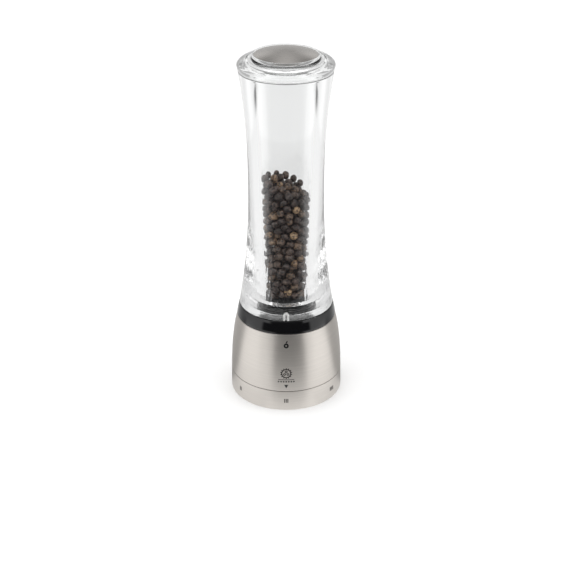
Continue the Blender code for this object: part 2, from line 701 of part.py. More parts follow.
def build_reservoir():
    """The thick clear body. Its foot is counterbored for the collar's neck, its top has a lip for
    the cap, and a pocket in the front of the foot holds the white index key."""
    low = COLLAR_TOP + STILL_GAP
    high = BODY_TOP
    edge = 0.35 * MM
    outside = [(body_radius(high) - edge, high)]
    outside += [(body_radius(z), z) for z in steps_between(high - edge, low + edge, 11)]
    outside += [(body_radius(low) - edge, low)]
    profile = outside
    profile += [(COUNTERBORE_RADIUS, low), (COUNTERBORE_RADIUS, COUNTERBORE_TOP)]
    profile += [(BORE_FOOT_RADIUS, COUNTERBORE_TOP), (BORE_MOUTH_RADIUS, LIP_TOP - 0.3 * MM),
                (BORE_MOUTH_RADIUS + 0.3 * MM, LIP_TOP),
                (LIP_RADIUS - 0.3 * MM, LIP_TOP), (LIP_RADIUS, LIP_TOP - 0.3 * MM), (LIP_RADIUS, high)]
    body = turned("reservoir", profile, ACRYLIC, RESERVOIR)
    width, height, depth = 3.6 * MM, 5.4 * MM, 1.2 * MM
    pocket = arch_mesh(width + 2 * STILL_GAP, height + 2 * STILL_GAP, 4.0 * MM, slot=0.0)
    pocket.transform(key_placement(depth + STILL_GAP - 2.0 * MM) @ Matrix.Translation((0.0, 0.0, -STILL_GAP)))
    cut(body, pocket)
    key = arch_mesh(width, height, depth, slot=1.1 * MM)
    key.transform(key_placement(depth / 2 + 0.1 * MM) @ Matrix.Translation((0.0, 0.0, 0.1 * MM)))
    add(key, "index_key", WHITE, RESERVOIR)


def build_seal(name, middle_radius, thickness, z, finish, parent):
    bpy.ops.mesh.primitive_torus_add(major_radius=middle_radius, minor_radius=thickness / 2,
                                     major_segments=LARGE_STEPS, minor_segments=6, location=(0.0, 0.0, z))
    obj = bpy.context.object
    mesh = mesh_of(obj)
    add(mesh, name, finish, parent)


def build_fill():
    """The peppercorns in the reservoir as one plain solid, heaped higher at the left."""
    low, high = 65.0 * MM, 150.0 * MM
    heap_z = 131.0 * MM
    work = bmesh.new()
    gap = 0.5 * MM
    middle = Matrix.Translation((0.0, 0.0, (low + high) / 2))
    bmesh.ops.create_cone(work, cap_ends=True, segments=24, radius1=bore_radius(low) - gap,
                          radius2=bore_radius(high) - gap, depth=high - low, matrix=middle)
    slope = Vector((0.5, -0.1, 1.0)).normalized()
    everything = work.verts[:] + work.edges[:] + work.faces[:]
    cut_edges = bmesh.ops.bisect_plane(work, geom=everything, plane_co=(0.0, 0.0, heap_z), plane_no=slope,
                                       clear_outer=True)["geom_cut"]
    bmesh.ops.contextual_create(work, geom=[g for g in cut_edges if isinstance(g, bmesh.types.BMEdge)])
    bmesh.ops.recalc_face_normals(work, faces=work.faces)
    mesh = bpy.data.meshes.new("fill")
    work.to_mesh(mesh)
    work.free()
    add(mesh, "peppercorn_fill", PEPPER, RESERVOIR)


# The cap: a clear ring with a socket for the reservoir's lip, a steel dome bonded in, and a seal.


def build_cap():
    low = BODY_TOP + STILL_GAP
    recess_floor = 203.9 * MM
    recess_radius = DOME_RADIUS + STILL_GAP
    socket, ceiling = LIP_RADIUS + STILL_GAP, LIP_TOP + STILL_GAP
    groove_radius, groove = 20.9 * MM, (CAP_SEAL_Z - 0.9 * MM, CAP_SEAL_Z + 0.9 * MM)
    profile = [
        (recess_radius, 206.8 * MM),
        (18.2 * MM, 206.8 * MM),
        (21.0 * MM, 205.4 * MM),
        (25.1 * MM, 203.3 * MM),
        (26.5 * MM, 202.2 * MM),
        (RIM_RADIUS, RIM_Z),
        (RIM_RADIUS - 0.2 * MM, 200.2 * MM),
        (BODY_TOP_RADIUS, low + 0.3 * MM),
        (BODY_TOP_RADIUS - 0.3 * MM, low),
        (socket, low),
        (socket, groove[0]),
        (groove_radius, groove[0]),
        (groove_radius, groove[1]),
        (socket, groove[1]),
        (socket, ceiling),
        (0.0, ceiling),
    ]
    floor = [(0.0, recess_floor), (recess_radius, recess_floor)]
    turned("cap_ring", floor + profile, ACRYLIC, CAP)
    pad_low = recess_floor + STILL_GAP / 2
    pad_high, pad_radius = pad_low + 0.5 * MM, 16.4 * MM
    turned("cap_bond_pad", [(0.0, pad_high), (pad_radius, pad_high), (pad_radius, pad_low), (0.0, pad_low)],
           FOAM, CAP)
    build_dome(recess_floor + STILL_GAP)


def build_dome(foot):
    """A spun sheet dome whose edge is turned down to a short upright wall."""
    inner = DOME_RADIUS - SHEET
    outside = steps_between(0.0, DOME_RADIUS - 0.25 * MM, 6)
    inside = steps_between(inner, 0.0, 5)
    fall = (HEIGHT - DOME_EDGE_Z) / DOME_RADIUS**2
    profile = [(r, HEIGHT - fall * r * r) for r in outside]
    profile += [(DOME_RADIUS, DOME_EDGE_Z - 0.25 * MM), (DOME_RADIUS, foot), (inner, foot)]
    profile += [(r, HEIGHT - SHEET - fall * r * r) for r in inside]
    turned("cap_dome", profile, STEEL_SKIN, CAP)


def main():
    build_base_shell()
    build_base_housing()
    build_funnel()
    build_stator()
    build_screws()
    build_collar_bearing()
    build_detent()
    build_adjuster_skin()
    build_adjuster_carrier()
    build_adjuster_clip()
    build_bridge()
    build_collar()
    build_spider()
    build_shaft()
    build_spring()
    build_rotor()
    build_reservoir()
    build_seal("neck_seal", 16.4 * MM, 1.3 * MM, 59.0 * MM, RUBBER, RESERVOIR)
    build_fill()
    build_cap()
    build_seal("cap_seal", 20.15 * MM, 1.3 * MM, CAP_SEAL_Z, SILICONE, CAP)


main()
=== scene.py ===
"""The looks of the pepper mill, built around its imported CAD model.

Fine turned surfaces, brushed steel, clear acrylic, the peppercorns and the printed marks. Lengths
are in metres and +Z is up. The front of the mill, with its marks and the white key, faces -Y.
"""

from math import cos, pi, radians, sin, tau

import bmesh
import bpy
import numpy as np
from mathutils import Matrix, Vector, noise


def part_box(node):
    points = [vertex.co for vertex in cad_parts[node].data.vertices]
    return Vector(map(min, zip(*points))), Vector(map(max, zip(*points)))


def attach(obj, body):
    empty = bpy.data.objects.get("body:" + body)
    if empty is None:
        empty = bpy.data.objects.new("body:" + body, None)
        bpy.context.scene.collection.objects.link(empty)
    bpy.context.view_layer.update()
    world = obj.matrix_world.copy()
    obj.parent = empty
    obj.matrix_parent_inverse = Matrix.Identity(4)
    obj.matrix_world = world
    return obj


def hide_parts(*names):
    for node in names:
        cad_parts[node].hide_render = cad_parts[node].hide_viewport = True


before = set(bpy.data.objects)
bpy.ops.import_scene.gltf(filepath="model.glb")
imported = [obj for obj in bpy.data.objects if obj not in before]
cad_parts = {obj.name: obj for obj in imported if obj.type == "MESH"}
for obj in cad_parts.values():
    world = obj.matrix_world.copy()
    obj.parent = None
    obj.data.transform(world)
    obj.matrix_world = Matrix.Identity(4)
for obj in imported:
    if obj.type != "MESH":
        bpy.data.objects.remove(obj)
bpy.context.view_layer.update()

MM = 0.001
FINE_STEPS = 192  # facets round the turned pieces
HIDDEN_STEPS = 96  # facets round the small or hidden ones


def low_of(node):
    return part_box(node)[0][2]


def high_of(node):
    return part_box(node)[1][2]


def radius_of(node):
    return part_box(node)[1][0]


# Heights and radii of the CAD pieces that the fine surfaces follow.
TOP = high_of("cap_dome")
BASE_RADIUS = radius_of("adjuster_skin")
SHELL_LOW, SHELL_TOP = low_of("base_shell"), high_of("base_shell")
BASE_DRAFT = 0.0175  # how fast the base narrows from its foot up
SHELL_TOP_RADIUS = 29.15 * MM
BODY_LOW, BODY_TOP = low_of("reservoir"), 197.9 * MM
COLLAR_TOP = BODY_LOW - 0.3 * MM
COLLAR_TOP_RADIUS = radius_of("reservoir")
BODY_TOP_RADIUS = 26.35 * MM
WAIST_Z, WAIST_RADIUS = 130.65 * MM, 21.6 * MM
SHEET = 0.7 * MM

# The reservoir's bore.
BORE_FOOT_RADIUS = 12.0 * MM
BORE_MOUTH_RADIUS = 17.1 * MM
COUNTERBORE_TOP, COUNTERBORE_RADIUS = 62.2 * MM, 17.5 * MM
LIP_TOP = high_of("reservoir")  # the reservoir's upstanding lip, inside the cap
LIP_RADIUS = 19.2 * MM

# The heap of peppercorns: how high it stands on the axis, and how it slopes along X and Y.
HEAP_Z = 132.2 * MM
HEAP_SLOPE = (-0.40, 0.04)

# Where the flow marks in the reservoir's outside fade out: upwards, and down to its foot.
FLOW_MARKS = (70.0 * MM, 115.0 * MM)
FLOW_FOOT = (62.0 * MM, 69.0 * MM)


def steps_between(low, high, count):
    return [low + (high - low) * i / (count - 1) for i in range(count)]


def shell_radius(z):
    drawn_in = BASE_RADIUS - BASE_DRAFT * SHELL_TOP - SHELL_TOP_RADIUS
    return BASE_RADIUS - BASE_DRAFT * z - drawn_in * (max(0.0, z) / SHELL_TOP) ** 3.65


def body_radius(z):
    if z < WAIST_Z:
        spread = COLLAR_TOP_RADIUS - WAIST_RADIUS
        return WAIST_RADIUS + spread * ((WAIST_Z - z) / (WAIST_Z - COLLAR_TOP)) ** 2.1
    spread = BODY_TOP_RADIUS - WAIST_RADIUS
    return WAIST_RADIUS + spread * ((z - WAIST_Z) / (BODY_TOP - WAIST_Z)) ** 2.35


def bore_radius(z):
    share = (z - COUNTERBORE_TOP) / (LIP_TOP - COUNTERBORE_TOP)
    return BORE_FOOT_RADIUS + (BORE_MOUTH_RADIUS - BORE_FOOT_RADIUS) * share


# Materials. Each is a node tree on a Principled shader; positions come from object coordinates.


class Tree:
    """A material's node tree, with short ways to add nodes and link them."""

    def __init__(self, name):
        self.material = bpy.data.materials.new(name)
        self.material.use_nodes = True
        self.nodes = self.material.node_tree.nodes
        self.links = self.material.node_tree.links
        self.shader = self.nodes["Principled BSDF"]

    def add(self, kind, **settings):
        node = self.nodes.new(kind)
        for key, value in settings.items():
            setattr(node, key, value)
        return node

    def link(self, output, target):
        self.links.new(output, target)

    def feed(self, socket, value):
        """Sets a socket to a number or colour, or links it to another node's output."""
        if isinstance(value, bpy.types.NodeSocket):
            self.link(value, socket)
        else:
            socket.default_value = value

    def set(self, **values):
        names = {key: key.replace("_", " ").title().replace("Ior", "IOR") for key in values}
        for key, value in values.items():
            self.feed(self.shader.inputs[names[key]], value)

    def math(self, operation, first, second=0.0, clamp=False):
        node = self.add("ShaderNodeMath", operation=operation, use_clamp=clamp)
        self.feed(node.inputs[0], first)
        self.feed(node.inputs[1], second)
        return node.outputs[0]

    def position(self):
        return self.add("ShaderNodeTexCoord").outputs["Object"]

    def split(self, vector):
        node = self.add("ShaderNodeSeparateXYZ")
        self.link(vector, node.inputs[0])
        return node.outputs

    def combine(self, x, y, z):
        node = self.add("ShaderNodeCombineXYZ")
        for socket, value in zip(node.inputs, (x, y, z), strict=True):
            self.feed(socket, value)
        return node.outputs[0]

    def noise(self, vector, scale, detail=4.0, roughness=0.55):
        node = self.add("ShaderNodeTexNoise")
        self.link(vector, node.inputs["Vector"])
        node.inputs["Scale"].default_value = scale
        node.inputs["Detail"].default_value = detail
        node.inputs["Roughness"].default_value = roughness
        return node.outputs["Fac"]

    def spread(self, value, low, high, span=(0.3, 0.7)):
        """Maps the useful span of a noise onto low to high."""
        node = self.add("ShaderNodeMapRange")
        self.link(value, node.inputs["Value"])
        limits = {"From Min": span[0], "From Max": span[1], "To Min": low, "To Max": high}
        for name, number in limits.items():
            node.inputs[name].default_value = number
        return node.outputs["Result"]

    def mix(self, factor, first, second):
        node = self.add("ShaderNodeMix", data_type="RGBA")
        self.feed(node.inputs[0], factor)
        self.feed(node.inputs[6], first)
        self.feed(node.inputs[7], second)
        return node.outputs[2]

    def bump(self, height, distance, strength=1.0):
        node = self.add("ShaderNodeBump")
        node.inputs["Strength"].default_value = strength
        node.inputs["Distance"].default_value = distance
        self.link(height, node.inputs["Height"])
        self.link(node.outputs["Normal"], self.shader.inputs["Normal"])

    def around_axis(self):
        """The tangent that runs round the mill's axis, which turned and brushed metal follows."""
        node = self.add("ShaderNodeTangent", direction_type="RADIAL", axis="Z")
        self.link(node.outputs["Tangent"], self.shader.inputs["Tangent"])

    def groove_space(self, concentric, along, across):
        """Coordinates in which noise becomes fine lines round the axis: stretched along the lines and
        tight across them, by height on an upright wall or by radius on a flat or domed top."""
        x, y, z = self.split(self.position())
        if concentric:
            square = self.math("ADD", self.math("MULTIPLY", x, x), self.math("MULTIPLY", y, y))
            step = self.math("SQRT", square)
        else:
            step = z
        return self.combine(self.math("MULTIPLY", x, along), self.math("MULTIPLY", y, along),
                            self.math("MULTIPLY", step, across))


class WorldTree(Tree):
    """The same for a world, which has no Principled shader."""

    def __init__(self, world):
        world.use_nodes = True
        self.nodes = world.node_tree.nodes
        self.links = world.node_tree.links


def colour(red, green, blue):
    return (red, green, blue, 1.0)


def brushed_metal(name, tint, roughness, anisotropy, concentric=False, relief=4e-6):
    tree = Tree(name)
    fine = tree.noise(tree.groove_space(concentric, 70.0, 9000.0), 1.0, 3.0)
    broad = tree.noise(tree.groove_space(concentric, 25.0, 1400.0), 1.0, 4.0)
    both = tree.math("ADD", tree.math("MULTIPLY", fine, 0.6), tree.math("MULTIPLY", broad, 0.4))
    dark = colour(*(0.88 * side for side in tint))
    light = colour(*(min(1.0, 1.07 * side) for side in tint))
    tree.set(metallic=1.0, anisotropic=anisotropy, anisotropic_rotation=0.25,
             roughness=tree.spread(both, roughness - 0.06, roughness + 0.07),
             base_color=tree.mix(tree.spread(both, 0.0, 1.0), dark, light))
    tree.around_axis()
    tree.bump(both, relief, 0.5)
    return tree.material


def machined_metal(name, tint, roughness, grain=500.0, relief=6e-6):
    tree = Tree(name)
    speckle = tree.noise(tree.position(), grain, 6.0)
    cloud = tree.noise(tree.position(), grain / 12, 3.0)
    dark = colour(*(0.78 * side for side in tint))
    tree.set(metallic=1.0, roughness=tree.spread(speckle, roughness - 0.07, roughness + 0.1),
             base_color=tree.mix(tree.spread(cloud, 0.0, 1.0), dark, colour(*tint)))
    tree.bump(speckle, relief, 0.4)
    return tree.material


def moulded_plastic(name, tint, roughness, sheen_spread=0.06, grain=900.0, relief=4e-6):
    tree = Tree(name)
    grain_noise = tree.noise(tree.position(), grain, 4.0)
    cloud = tree.noise(tree.position(), 90.0, 3.0)
    dark = colour(*(0.8 * side for side in tint))
    light = colour(*(min(1.0, 1.12 * side) for side in tint))
    tree.set(roughness=tree.spread(cloud, max(0.02, roughness - sheen_spread), roughness + sheen_spread),
             base_color=tree.mix(tree.spread(grain_noise, 0.0, 1.0), dark, light))
    tree.bump(grain_noise, relief, 0.3)
    return tree.material


def clear_plastic(name, tint, roughness_low, roughness_high, ior, glow, glow_from=20.0 * MM,
                  ripple=1.5e-5, flow_depth=0.0):
    """Clear moulded plastic, with faint long ripples and an uneven polish. The glow, seen from within
    at the outer surfaces, stands in for light that a render loses on its way through thick walls."""
    tree = Tree(name)
    x, y, z = tree.split(tree.position())
    radius = tree.math("SQRT", tree.math("ADD", tree.math("MULTIPLY", x, x), tree.math("MULTIPLY", y, y)))
    long_space = tree.combine(tree.math("MULTIPLY", x, 60.0), tree.math("MULTIPLY", y, 60.0),
                              tree.math("MULTIPLY", z, 14.0))
    waves = tree.noise(long_space, 1.0, 1.0)
    # Shallow flow marks on the outside, which fade out towards the waist and the very foot.
    flow_space = tree.combine(tree.math("MULTIPLY", x, 420.0), tree.math("MULTIPLY", y, 420.0),
                              tree.math("MULTIPLY", z, 150.0))
    flow = tree.math("MULTIPLY", tree.noise(flow_space, 1.0, 1.0), tree.spread(z, 1.0, 0.0, FLOW_MARKS))
    flow = tree.math("MULTIPLY", flow, tree.spread(z, 0.25, 1.0, FLOW_FOOT))
    flow = tree.math("MULTIPLY", flow, tree.spread(radius, 0.0, 1.0, (19.0 * MM, 20.5 * MM)))
    relief = tree.math("ADD", waves, tree.math("MULTIPLY", flow, flow_depth / ripple))
    polish = tree.noise(tree.position(), 140.0, 4.0)
    tree.set(base_color=colour(*tint), transmission_weight=1.0, ior=ior,
             roughness=tree.spread(polish, roughness_low, roughness_high))
    within = tree.add("ShaderNodeNewGeometry").outputs["Backfacing"]
    outer = tree.spread(radius, 0.0, glow, (glow_from, glow_from + 0.8 * MM))
    tree.set(emission_color=colour(1.0, 1.0, 1.0), emission_strength=tree.math("MULTIPLY", within, outer))
    tree.bump(relief, ripple, 1.0)
    return tree.material


def soft_rubber(name, tint, roughness):
    tree = Tree(name)
    grain_noise = tree.noise(tree.position(), 1400.0, 3.0)
    dark = colour(*(0.75 * side for side in tint))
    tree.set(roughness=tree.spread(grain_noise, roughness - 0.1, roughness + 0.1),
             base_color=tree.mix(tree.spread(grain_noise, 0.0, 1.0), dark, colour(*tint)))
    tree.bump(grain_noise, 1e-5, 0.5)
    return tree.material


def peppercorn_skin():
    """Dried pepper: dusty brown ridges over valleys painted near black as shade, and no two corns the same.
    """
    tree = Tree("peppercorn_skin")
    corn = tree.add("ShaderNodeNewGeometry").outputs["Random Per Island"]
    ramp = tree.add("ShaderNodeValToRGB")
    ramp.color_ramp.interpolation = "LINEAR"
    stops = [(0.0, (0.068, 0.048, 0.042)), (0.55, (0.130, 0.092, 0.078)), (0.80, (0.190, 0.132, 0.100)),
             (0.92, (0.300, 0.198, 0.130)), (0.97, (0.430, 0.275, 0.160)), (1.0, (0.560, 0.385, 0.230))]
    for number, (place, tint) in enumerate(stops):
        if number < 2:
            element = ramp.color_ramp.elements[number]
            element.position = place
        else:
            element = ramp.color_ramp.elements.new(place)
        element.color = colour(*tint)
    tree.link(corn, ramp.inputs[0])
    ridge = tree.add("ShaderNodeAttribute", attribute_name="ridge").outputs["Fac"]
    dust = tree.noise(tree.position(), 1800.0, 5.0)
    height = tree.math("ADD", tree.math("MULTIPLY", ridge, 0.75), tree.math("MULTIPLY", dust, 0.35))
    # Painted shade: the skin in the valleys between the ridges is mixed nearly to black. The dust noise also
    # lightens the skin at random.
    shaded_valley = tree.mix(0.90, ramp.outputs["Color"], colour(0.006, 0.004, 0.003))
    tree.set(base_color=tree.mix(tree.spread(height, 0.0, 1.0, (0.28, 0.80)), shaded_valley, ramp.outputs["Color"]),
             roughness=tree.spread(dust, 0.34, 0.6))
    tree.bump(dust, 2.5e-4, 0.8)
    return tree.material


SKIN_STEEL = brushed_metal("brushed_steel_wall", (0.655, 0.620, 0.580), 0.42, 0.85)
DOME_STEEL = brushed_metal("brushed_steel_dome", (0.63, 0.60, 0.57), 0.26, 0.5, concentric=True)
BRIGHT_STEEL = machined_metal("machined_steel", (0.68, 0.67, 0.66), 0.24)
BURR_STEEL = machined_metal("burr_steel", (0.33, 0.32, 0.31), 0.42, grain=700.0, relief=1.5e-5)
SPRING_STEEL = machined_metal("spring_wire", (0.55, 0.55, 0.57), 0.28)
ACRYLIC = clear_plastic("clear_acrylic", (0.992, 0.996, 0.995), 0.0, 0.012, 1.49, glow=0.035,
                        flow_depth=4.5e-4)
CAP_ACRYLIC = clear_plastic("cap_acrylic", (0.950, 0.955, 0.953), 0.0, 0.012, 1.49, glow=0.075,
                            glow_from=17.2 * MM)
SILICONE = clear_plastic("clear_silicone", (0.93, 0.94, 0.94), 0.25, 0.4, 1.41, glow=0.05)
GLOSS_BLACK = moulded_plastic("gloss_black_plastic", (0.005, 0.005, 0.006), 0.09, 0.03, relief=1e-6)
MATTE_BLACK = moulded_plastic("matte_black_plastic", (0.028, 0.028, 0.030), 0.45, relief=8e-6)
WHITE_PLASTIC = moulded_plastic("white_plastic", (0.86, 0.86, 0.85), 0.32)
RUBBER = soft_rubber("black_rubber", (0.022, 0.022, 0.022), 0.6)
FOAM = soft_rubber("grey_foam", (0.42, 0.42, 0.42), 0.85)
INK = moulded_plastic("black_ink", (0.012, 0.012, 0.012), 0.4, relief=1e-6)
ETCH = moulded_plastic("etched_grey", (0.028, 0.023, 0.020), 0.5, relief=1e-6)
PEPPER = peppercorn_skin()


# Making meshes.


def link_object(name, mesh):
    obj = bpy.data.objects.new(name, mesh)
    bpy.context.scene.collection.objects.link(obj)
    return obj


def finish_piece(obj, finish, body, slot, *nodes):
    """Gives a piece its material and its body, and hides the CAD nodes that it stands for. The slot argument
    is not used.
    """
    obj.data.materials.clear()
    obj.data.materials.append(finish)
    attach(obj, body)
    if nodes:
        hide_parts(*nodes)
    return obj


def baked_mesh(obj, sharp=35.0):
    """The object's evaluated shape, welded, facing out and smooth except at its real edges."""
    bpy.context.view_layer.update()
    graph = bpy.context.evaluated_depsgraph_get()
    mesh = bpy.data.meshes.new_from_object(obj.evaluated_get(graph))
    mesh.transform(obj.matrix_world)
    work = bmesh.new()
    work.from_mesh(mesh)
    bmesh.ops.remove_doubles(work, verts=work.verts, dist=0.002 * MM)
    bmesh.ops.recalc_face_normals(work, faces=work.faces)
    work.to_mesh(mesh)
    work.free()
    mesh.shade_smooth()
    mesh.set_sharp_from_angle(angle=radians(sharp))
    bpy.data.objects.remove(obj, do_unlink=True)
    return mesh


def rounded(corners, segments=5):
    """A closed profile with its corners rounded. Each corner is (radius, height) or
    (radius, height, rounding); one without a rounding stays as it is."""
    points = []
    count = len(corners)
    for i, corner in enumerate(corners):
        here = Vector(corner[:2])
        if len(corner) == 2:
            points.append(tuple(here))
            continue
        before = Vector(corners[i - 1][:2]) - here
        after = Vector(corners[(i + 1) % count][:2]) - here
        reach = min(corner[2], 0.48 * before.length, 0.48 * after.length)
        start, end = here + before.normalized() * reach, here + after.normalized() * reach
        for t in steps_between(0.0, 1.0, segments):
            points.append(tuple(start * (1 - t) ** 2 + here * 2 * t * (1 - t) + end * t**2))
    return points


def turned_mesh(profile, steps=FINE_STEPS, sharp=35.0):
    """A closed profile of (radius, height) points swept round the axis; one whose first and last
    points are on the axis closes there."""
    on_axis = profile[0][0] == 0.0 and profile[-1][0] == 0.0
    count = len(profile)
    edges = [(i, (i + 1) % count) for i in range(count - 1 if on_axis else count)]
    outline = bpy.data.meshes.new("outline")
    outline.from_pydata([(r, 0.0, z) for r, z in profile], edges, [])
    obj = link_object("outline", outline)
    screw = obj.modifiers.new("screw", "SCREW")
    screw.angle = tau
    screw.steps = steps
    screw.render_steps = steps
    screw.use_merge_vertices = True
    screw.merge_threshold = 0.002 * MM
    return baked_mesh(obj, sharp)


def turned(name, profile, finish, body, slot, *nodes, steps=FINE_STEPS):
    return finish_piece(link_object(name, turned_mesh(profile, steps)), finish, body, slot, *nodes)


def carve(mesh, tool_mesh, sharp=35.0):
    """The mesh with the tool's shape cut out of it."""
    obj, tool = link_object("carved", mesh), link_object("tool", tool_mesh)
    modifier = obj.modifiers.new("carve", "BOOLEAN")
    modifier.operation = "DIFFERENCE"
    modifier.object = tool
    result = baked_mesh(obj, sharp)
    bpy.data.objects.remove(tool, do_unlink=True)
    return result


# The brushed steel base and its marks.


def build_base_shell():
    low, high = SHELL_LOW, SHELL_TOP
    edge = 0.28 * MM
    lip = 28.4 * MM
    corners = [(shell_radius(high), high, 0.45 * MM)]
    corners += [(shell_radius(z), z) for z in steps_between(high - 0.8 * MM, low + 0.8 * MM, 40)]
    corners += [(shell_radius(low), low, edge), (shell_radius(low) - SHEET, low, 0.1 * MM)]
    corners += [(shell_radius(z) - SHEET, z) for z in steps_between(low + 1.0 * MM, high - SHEET, 16)]
    corners += [(lip, high - SHEET, 0.1 * MM), (lip, high, 0.25 * MM)]
    turned("base_shell_skin", rounded(corners), SKIN_STEEL, "base", "brushed_skin", "base_shell")


def build_adjuster_skin():
    high = high_of("adjuster_skin")
    top = shell_radius(high)
    foot_inside = 30.9 * MM
    corners = [(top, high, 0.28 * MM), (BASE_RADIUS, 0.0, 0.45 * MM), (foot_inside, 0.0, 0.15 * MM),
               (foot_inside, SHEET, 0.15 * MM), (BASE_RADIUS - SHEET, SHEET, 0.3 * MM),
               (top - SHEET, high, 0.1 * MM)]
    turned("adjuster_ring_skin", rounded(corners, 7), SKIN_STEEL, "adjuster", "brushed_skin",
           "adjuster_skin")


def flat_mark(outlines):
    """A flat mesh in the XY plane from closed outlines; an outline inside another is a hole."""
    curve = bpy.data.curves.new("mark", "CURVE")
    curve.dimensions = "2D"
    curve.fill_mode = "FRONT"
    for outline in outlines:
        line = curve.splines.new("POLY")
        line.points.add(len(outline) - 1)
        line.use_cyclic_u = True
        for point, (x, y) in zip(line.points, outline, strict=True):
            point.co = (x, y, 0.0, 1.0)
    return baked_mesh(link_object("mark", curve))


def wrap_mark(name, outlines, angle, z_middle, surface, finish, body, slot):
    """Lays a flat mark on a turned wall, as ink a few hundredths of a millimetre thick. The mark's
    own middle lands at that angle from the front and that height."""
    thickness, sink, cell = 0.03 * MM, 0.01 * MM, 0.5 * MM
    mesh = flat_mark(outlines)
    work = bmesh.new()
    work.from_mesh(mesh)
    reach = max(max(abs(v.co.x), abs(v.co.y)) for v in work.verts)
    count = int(reach / cell) + 1
    for direction in (Vector((1, 0, 0)), Vector((0, 1, 0))):
        for i in range(-count, count + 1):
            geometry = work.verts[:] + work.edges[:] + work.faces[:]
            bmesh.ops.bisect_plane(work, geom=geometry, plane_co=direction * (i * cell), plane_no=direction,
                                   dist=1e-8)
    bmesh.ops.remove_doubles(work, verts=work.verts, dist=0.002 * MM)
    for face in work.faces:
        if face.normal.z < 0:
            face.normal_flip()
    top = {v: v.co.copy() for v in work.verts}
    faces = [list(f.verts) for f in work.faces]
    rims = [(e.verts[0], e.verts[1]) for e in work.edges if e.is_boundary]
    under = {v: work.verts.new(co) for v, co in top.items()}
    for verts in faces:
        work.faces.new([under[v] for v in reversed(verts)])
    for a, b in rims:
        work.faces.new((a, b, under[b], under[a]))
    bmesh.ops.recalc_face_normals(work, faces=work.faces)

    def placed(point, lift):
        z = z_middle + point.y
        radius = surface(z) + lift
        turn = radians(-90) + angle + point.x / surface(z_middle)
        return Vector((radius * cos(turn), radius * sin(turn), z))

    for vert, flat in top.items():
        under[vert].co = placed(flat, -sink)
        vert.co = placed(flat, thickness)
    bmesh.ops.recalc_face_normals(work, faces=work.faces)
    made = bpy.data.meshes.new(name)
    work.to_mesh(made)
    work.free()
    made.shade_smooth()
    made.set_sharp_from_angle(angle=radians(35))
    return finish_piece(link_object(name, made), finish, body, slot)


def circle(radius, x=0.0, y=0.0, points=28):
    return [(x + radius * cos(tau * i / points), y + radius * sin(tau * i / points)) for i in range(points)]


def bar(width, height, x=0.0, y=0.0):
    return [(x - width / 2, y - height / 2), (x + width / 2, y - height / 2),
            (x + width / 2, y + height / 2), (x - width / 2, y + height / 2)]


def toothed_wheel(outer, inner, teeth):
    """A cog's outline, for the emblem."""
    points = []
    for i in range(teeth):
        for share, radius in ((0.0, inner), (0.25, inner), (0.35, outer), (0.65, outer), (0.75, inner)):
            turn = tau * (i + share) / teeth
            points.append((radius * cos(turn), radius * sin(turn)))
    return points


def build_marks():
    """The printed marks: a peppercorn on its stem near the top, a cog emblem with a rule and a row
    of dots under it, and the pointer that the settings on the ring are read against."""
    stem = [(-0.38 * MM, 1.05 * MM), (0.38 * MM, 1.05 * MM), (0.95 * MM, 2.3 * MM), (0.3 * MM, 2.35 * MM)]
    wrap_mark("peppercorn_mark", [circle(1.48 * MM, 0.0, -0.6 * MM), circle(0.5 * MM, 0.0, -0.6 * MM), stem],
              0.0, 42.8 * MM, shell_radius, INK, "base", "matte_black")
    wheel = [toothed_wheel(3.55 * MM, 2.95 * MM, 14), circle(2.35 * MM, points=40)]
    for turn in (90, 210, 330):
        x, y = 1.15 * MM * cos(radians(turn)), 1.15 * MM * sin(radians(turn))
        wheel += [circle(0.82 * MM, x, y, 20), circle(0.34 * MM, x, y, 16)]
    wrap_mark("cog_emblem", wheel, 0.0, 24.7 * MM, shell_radius, ETCH, "base", "matte_black")
    wrap_mark("emblem_rule", [bar(9.4 * MM, 0.38 * MM)], 0.0, 20.6 * MM, shell_radius, ETCH,
              "base", "matte_black")
    dots = [circle(0.50 * MM, (i - 3) * 1.5 * MM, 0.0, 14) for i in range(7)]
    wrap_mark("emblem_dots", dots, 0.0, 19.3 * MM, shell_radius, ETCH, "base", "matte_black")
    pointer = [(-1.2 * MM, 1.15 * MM), (0.0, -1.25 * MM), (1.2 * MM, 1.15 * MM)]
    wrap_mark("pointer_mark", [pointer], 0.0, 16.1 * MM, shell_radius, INK, "base", "matte_black")


def build_setting_marks():
    """Tally marks round the adjusting ring, one bar for the finest grind up to six."""
    settings, shown, step = 6, 3, radians(55)
    pitch = 0.95 * MM
    for setting in range(1, settings + 1):
        bars = [bar(0.56 * MM, 2.6 * MM, (i - (setting - 1) / 2) * pitch) for i in range(setting)]
        wrap_mark(f"setting_mark_{setting}", bars, (setting - shown) * step, 6.3 * MM,
                  shell_radius, ETCH, "adjuster", "matte_black")


# The clear reservoir, the collar and what shows inside them.


def arch_mesh(width, height, thickness, slot, bevel=0.0):
    """A flat arch in the XZ plane with its foot at the origin, and a slot up its middle."""
    spring_line = height - width / 2
    outline = [(-width / 2, 0.0)]
    outline += [(width / 2 * cos(a), spring_line + width / 2 * sin(a)) for a in steps_between(pi, 0.0, 17)]
    outline += [(width / 2, 0.0)]
    if slot:
        outline += [(slot / 2, 0.0)]
        outline += [(slot / 2 * cos(a), spring_line + slot / 2 * sin(a)) for a in steps_between(0.0, pi, 9)]
        outline += [(-slot / 2, 0.0)]
    curve = bpy.data.curves.new("arch", "CURVE")
    curve.dimensions = "2D"
    curve.fill_mode = "BOTH"
    curve.extrude = thickness / 2 - bevel
    curve.bevel_depth = bevel
    curve.offset = -bevel
    line = curve.splines.new("POLY")
    line.points.add(len(outline) - 1)
    line.use_cyclic_u = True
    for point, (x, y) in zip(line.points, outline, strict=True):
        point.co = (x, y, 0.0, 1.0)
    mesh = baked_mesh(link_object("arch", curve))
    mesh.transform(Matrix.Rotation(radians(90), 4, "X"))
    return mesh


